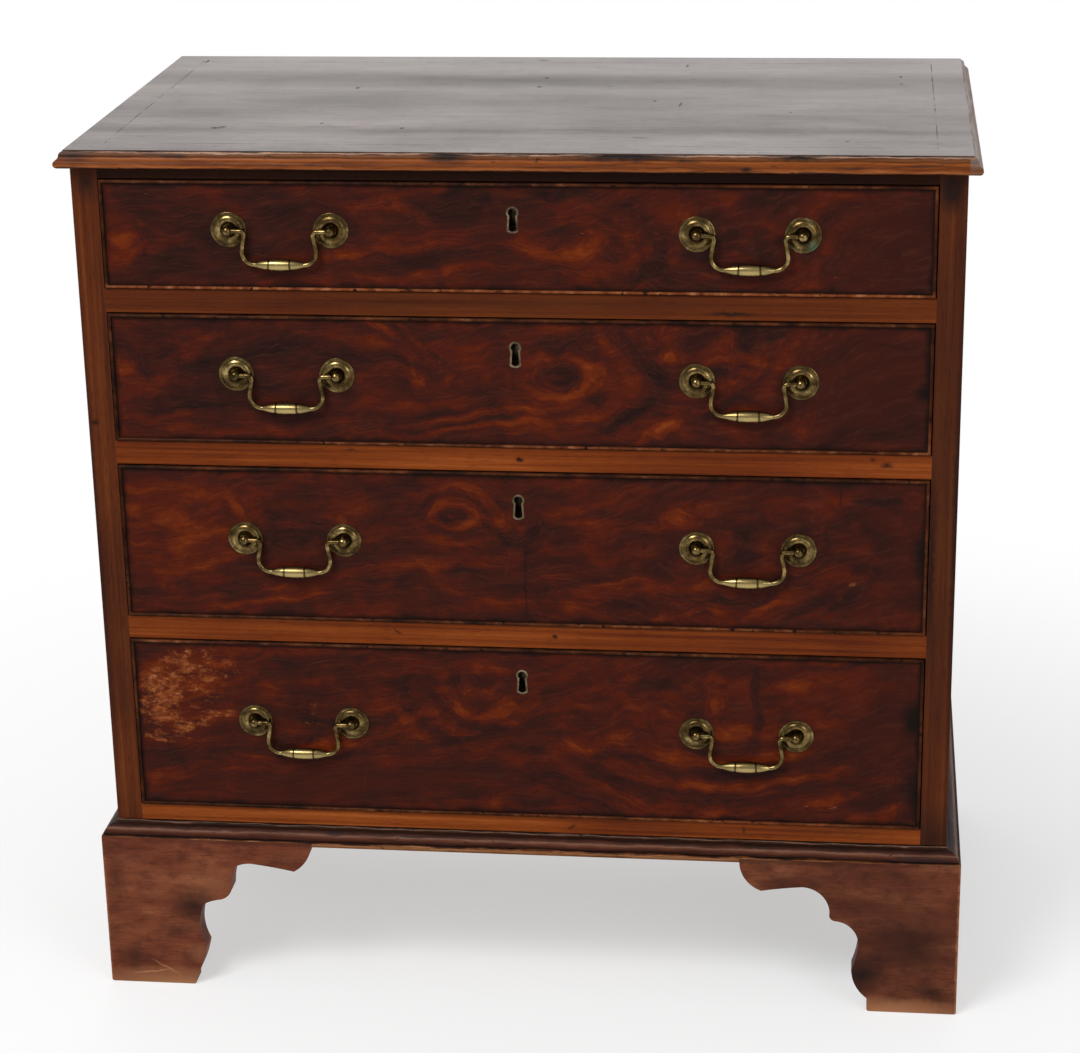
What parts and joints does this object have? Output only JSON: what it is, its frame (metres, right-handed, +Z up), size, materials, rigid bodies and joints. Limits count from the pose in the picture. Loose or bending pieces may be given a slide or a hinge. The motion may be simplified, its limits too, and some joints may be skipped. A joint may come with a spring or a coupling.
{
  "type": "bachelor's chest",
  "caption": "Small mahogany chest with a moulded top, graduated cock-beaded drawers on wooden runners, swan-neck bail handles, drawer locks and shaped bracket feet.",
  "frame": {"origin": "on the floor, under the middle of the chest's bounding box", "axes": "+X to the right seen from the front, +Y from the drawer fronts to the back, +Z up"},
  "size_m": [0.815, 0.464, 0.82],
  "materials": {
    "mahogany_top": "old waxed polish over cross-banded mahogany veneer",
    "mahogany_mouldings": "polished mahogany, rubbed on its edges",
    "mahogany_sides": "old waxed polish",
    "mahogany_frame": "polished mahogany",
    "mahogany_feet": "polished mahogany, worn at the floor",
    "flame_mahogany": "french-polished flame mahogany",
    "cock_bead": "polished mahogany, worn pale on the nose",
    "oak_linings": "bare oak, darkened with age",
    "pine_carcass": "bare pine, darkened with age",
    "antique_brass": "lacquered brass, toned and rubbed bright on its high places",
    "lock_steel": "filed iron, dulled"
  },
  "bodies": {
    "case": {"top_board": "pine_carcass", "top_veneer": "mahogany_top", "top_moulding": "mahogany_mouldings", "case_side_left": "mahogany_sides", "case_side_right": "mahogany_sides", "stile_facings": "mahogany_frame", "back_boards": "pine_carcass", "drawer_rails": "mahogany_frame", "bottom_rail": "mahogany_frame", "bottom_board": "pine_carcass", "drawer_runners": "pine_carcass", "dustboards": "pine_carcass", "drawer_stops": "pine_carcass", "top_frame": "mahogany_frame", "base_moulding": "mahogany_mouldings", "foot_front_left": "mahogany_feet", "foot_front_right": "mahogany_feet", "foot_rear_left": "mahogany_feet", "foot_rear_right": "mahogany_feet", "foot_blocks": "pine_carcass"},
    "drawer_1": {"drawer_1_front": "flame_mahogany", "drawer_1_cock_beads": "cock_bead", "drawer_1_sides": "oak_linings", "drawer_1_back": "oak_linings", "drawer_1_bottom": "oak_linings", "drawer_1_lock": "antique_brass", "drawer_1_handle_posts": "antique_brass"},
    "bolt_1": {"drawer_1_lock_bolt": "lock_steel"},
    "bail_1_left": {"drawer_1_bail_left": "antique_brass"},
    "bail_1_right": {"drawer_1_bail_right": "antique_brass"},
    "drawer_2": {"drawer_2_front": "flame_mahogany", "drawer_2_cock_beads": "cock_bead", "drawer_2_sides": "oak_linings", "drawer_2_back": "oak_linings", "drawer_2_bottom": "oak_linings", "drawer_2_lock": "antique_brass", "drawer_2_handle_posts": "antique_brass"},
    "bolt_2": {"drawer_2_lock_bolt": "lock_steel"},
    "bail_2_left": {"drawer_2_bail_left": "antique_brass"},
    "bail_2_right": {"drawer_2_bail_right": "antique_brass"},
    "drawer_3": {"drawer_3_front": "flame_mahogany", "drawer_3_cock_beads": "cock_bead", "drawer_3_sides": "oak_linings", "drawer_3_back": "oak_linings", "drawer_3_bottom": "oak_linings", "drawer_3_lock": "antique_brass", "drawer_3_handle_posts": "antique_brass"},
    "bolt_3": {"drawer_3_lock_bolt": "lock_steel"},
    "bail_3_left": {"drawer_3_bail_left": "antique_brass"},
    "bail_3_right": {"drawer_3_bail_right": "antique_brass"},
    "drawer_4": {"drawer_4_front": "flame_mahogany", "drawer_4_cock_beads": "cock_bead", "drawer_4_sides": "oak_linings", "drawer_4_back": "oak_linings", "drawer_4_bottom": "oak_linings", "drawer_4_lock": "antique_brass", "drawer_4_handle_posts": "antique_brass"},
    "bolt_4": {"drawer_4_lock_bolt": "lock_steel"},
    "bail_4_left": {"drawer_4_bail_left": "antique_brass"},
    "bail_4_right": {"drawer_4_bail_right": "antique_brass"}
  },
  "joints": [
    {"name": "drawer_1_slide", "type": "slide", "parent": "case", "child": "drawer_1", "axis": [0, -1, 0], "range_m": [0, 0.32]},
    {"name": "bolt_1_throw", "type": "slide", "parent": "drawer_1", "child": "bolt_1", "axis": [0, 0, 1], "range_m": [0, 0.007]},
    {"name": "bail_1_left_swing", "type": "hinge", "parent": "drawer_1", "child": "bail_1_left", "pos_m": [-0.2075, -0.2242, 0.7485], "axis": [-1, 0, 0], "range_deg": [-1, 170]},
    {"name": "bail_1_right_swing", "type": "hinge", "parent": "drawer_1", "child": "bail_1_right", "pos_m": [0.2075, -0.2242, 0.7485], "axis": [-1, 0, 0], "range_deg": [-1, 170]},
    {"name": "drawer_2_slide", "type": "slide", "parent": "case", "child": "drawer_2", "axis": [0, -1, 0], "range_m": [0, 0.32]},
    {"name": "bolt_2_throw", "type": "slide", "parent": "drawer_2", "child": "bolt_2", "axis": [0, 0, 1], "range_m": [0, 0.007]},
    {"name": "bail_2_left_swing", "type": "hinge", "parent": "drawer_2", "child": "bail_2_left", "pos_m": [-0.2075, -0.2242, 0.6155], "axis": [-1, 0, 0], "range_deg": [-1, 170]},
    {"name": "bail_2_right_swing", "type": "hinge", "parent": "drawer_2", "child": "bail_2_right", "pos_m": [0.2075, -0.2242, 0.6155], "axis": [-1, 0, 0], "range_deg": [-1, 170]},
    {"name": "drawer_3_slide", "type": "slide", "parent": "case", "child": "drawer_3", "axis": [0, -1, 0], "range_m": [0, 0.32]},
    {"name": "bolt_3_throw", "type": "slide", "parent": "drawer_3", "child": "bolt_3", "axis": [0, 0, 1], "range_m": [0, 0.007]},
    {"name": "bail_3_left_swing", "type": "hinge", "parent": "drawer_3", "child": "bail_3_left", "pos_m": [-0.2075, -0.2242, 0.458], "axis": [-1, 0, 0], "range_deg": [-1, 170]},
    {"name": "bail_3_right_swing", "type": "hinge", "parent": "drawer_3", "child": "bail_3_right", "pos_m": [0.2075, -0.2242, 0.458], "axis": [-1, 0, 0], "range_deg": [-1, 170]},
    {"name": "drawer_4_slide", "type": "slide", "parent": "case", "child": "drawer_4", "axis": [0, -1, 0], "range_m": [0, 0.32]},
    {"name": "bolt_4_throw", "type": "slide", "parent": "drawer_4", "child": "bolt_4", "axis": [0, 0, 1], "range_m": [0, 0.007]},
    {"name": "bail_4_left_swing", "type": "hinge", "parent": "drawer_4", "child": "bail_4_left", "pos_m": [-0.2075, -0.2242, 0.2755], "axis": [-1, 0, 0], "range_deg": [-1, 170]},
    {"name": "bail_4_right_swing", "type": "hinge", "parent": "drawer_4", "child": "bail_4_right", "pos_m": [0.2075, -0.2242, 0.2755], "axis": [-1, 0, 0], "range_deg": [-1, 170]}
  ]
}
